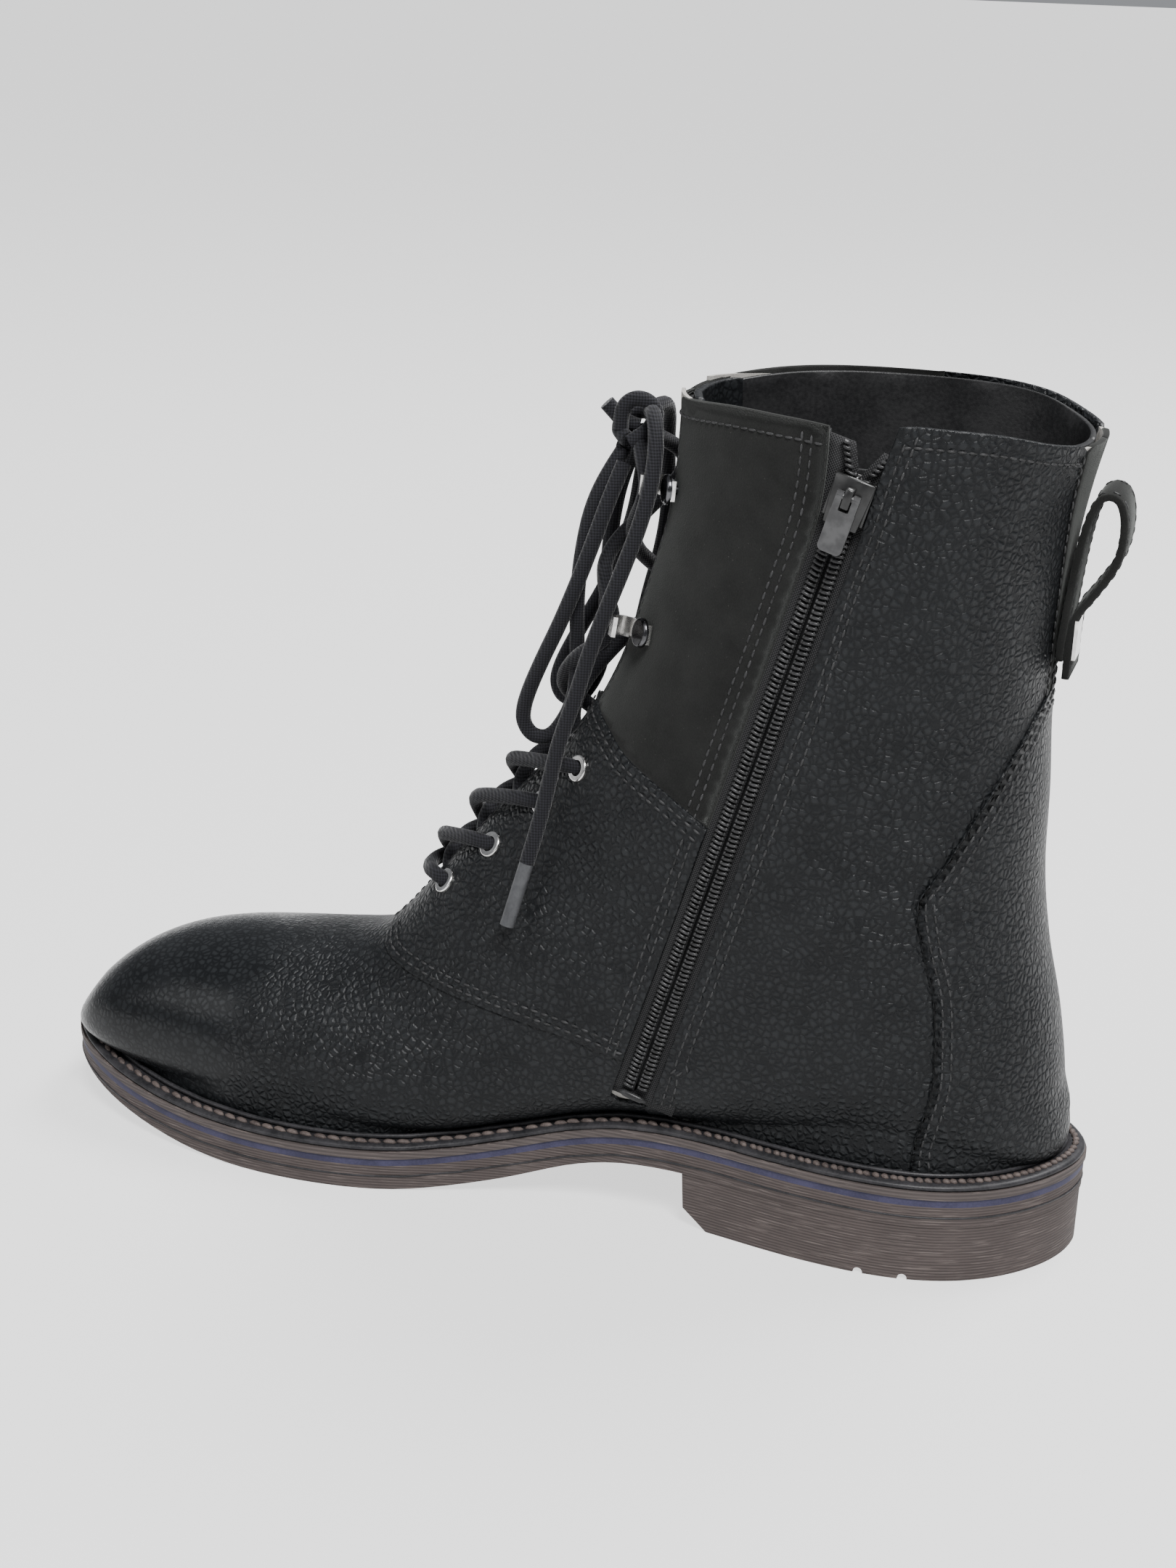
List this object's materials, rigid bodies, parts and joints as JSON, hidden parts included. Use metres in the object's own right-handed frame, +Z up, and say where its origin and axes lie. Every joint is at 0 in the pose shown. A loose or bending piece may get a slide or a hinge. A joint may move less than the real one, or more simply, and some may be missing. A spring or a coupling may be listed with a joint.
{
  "type": "lace-up zip boot",
  "caption": "Right-foot ankle boot with laced front, inside coil zip with sliding slider and hinged puller, welted sole, block heel and rear pull loop.",
  "frame": {"origin": "bottom centre of the bounding box, on the ground under the middle of the boot", "axes": "+X from toe to heel, +Y towards the outside of the foot (the zip faces -Y), +Z up"},
  "size_m": [0.3016, 0.1075, 0.231],
  "materials": {
    "grain_leather": "pebbled full grain, black",
    "suede": "suede nap, black",
    "sole_rubber": "matt brown-grey",
    "navy_rubber": "matt navy",
    "band_rubber": "matt brown-grey",
    "welt_leather": "satin black",
    "thread": "waxed thread, brown-grey",
    "nail_steel": "plain",
    "board": "fibre board",
    "cork": "cork granule",
    "footbed_leather": "smooth, black",
    "nickel": "polished",
    "gunmetal": "dark, polished",
    "stiffener": "thermoplastic sheet",
    "interlining": "foam-backed cloth",
    "lining_leather": "smooth, black",
    "tongue_leather": "smooth, black",
    "gusset_leather": "soft, black",
    "zip_tape": "woven, black",
    "zip_coil": "nylon, black",
    "slider_metal": "black enamel",
    "puller_metal": "dark grey enamel",
    "lace_cord": "braided cotton, black",
    "aglet_plastic": "dark grey"
  },
  "bodies": {
    "boot": {"outsole": "sole_rubber", "sole_stripe": "navy_rubber", "midsole": "band_rubber", "heel_block": "sole_rubber", "heel_top_lift": "sole_rubber", "heel_nails": "nail_steel", "welt": "welt_leather", "welt_stitching": "thread", "rand": "welt_leather", "insole_board": "board", "shank": "nail_steel", "cork_filler": "cork", "eyelets_inner": "nickel", "eyelets_outer": "nickel", "hooks_inner": "nickel", "hooks_outer": "nickel", "hook_rivets": "gunmetal", "vamp": "grain_leather", "quarter_inner": "grain_leather", "quarter_outer": "grain_leather", "shaft_front_inner": "suede", "shaft_front_outer": "suede", "rear_quarter_inner": "grain_leather", "rear_quarter_outer": "grain_leather", "heel_counter": "grain_leather", "back_strip": "suede", "toe_puff": "stiffener", "heel_stiffener": "stiffener", "interlining": "interlining", "lining": "lining_leather", "tongue": "tongue_leather", "zip_gusset": "gusset_leather", "footbed": "footbed_leather", "zip_tape_front": "zip_tape", "zip_tape_rear": "zip_tape", "zip_coil_front": "zip_coil", "zip_coil_rear": "zip_coil", "zip_bottom_stop": "zip_coil", "zip_coil_ends": "zip_coil", "pull_loop": "suede", "loop_clip": "nickel", "lacing": "lace_cord", "lace_knot": "lace_cord", "bow_loop_inner": "lace_cord", "bow_loop_outer": "lace_cord", "lace_end_inner": "lace_cord", "lace_end_outer": "lace_cord", "aglet_inner": "aglet_plastic", "aglet_outer": "aglet_plastic"},
    "slider": {"slider": "slider_metal"},
    "puller": {"puller": "puller_metal"}
  },
  "joints": [
    {"name": "zip_slide", "type": "slide", "parent": "boot", "child": "slider", "axis": [-0.2764, 0.0558, -0.9594], "range_m": [0, 0.168]},
    {"name": "puller_hinge", "type": "hinge", "parent": "slider", "child": "puller", "pos_m": [0.08165, -0.05195, 0.21079], "axis": [-0.9609, 0, 0.2769], "range_deg": [-2, 165]}
  ]
}
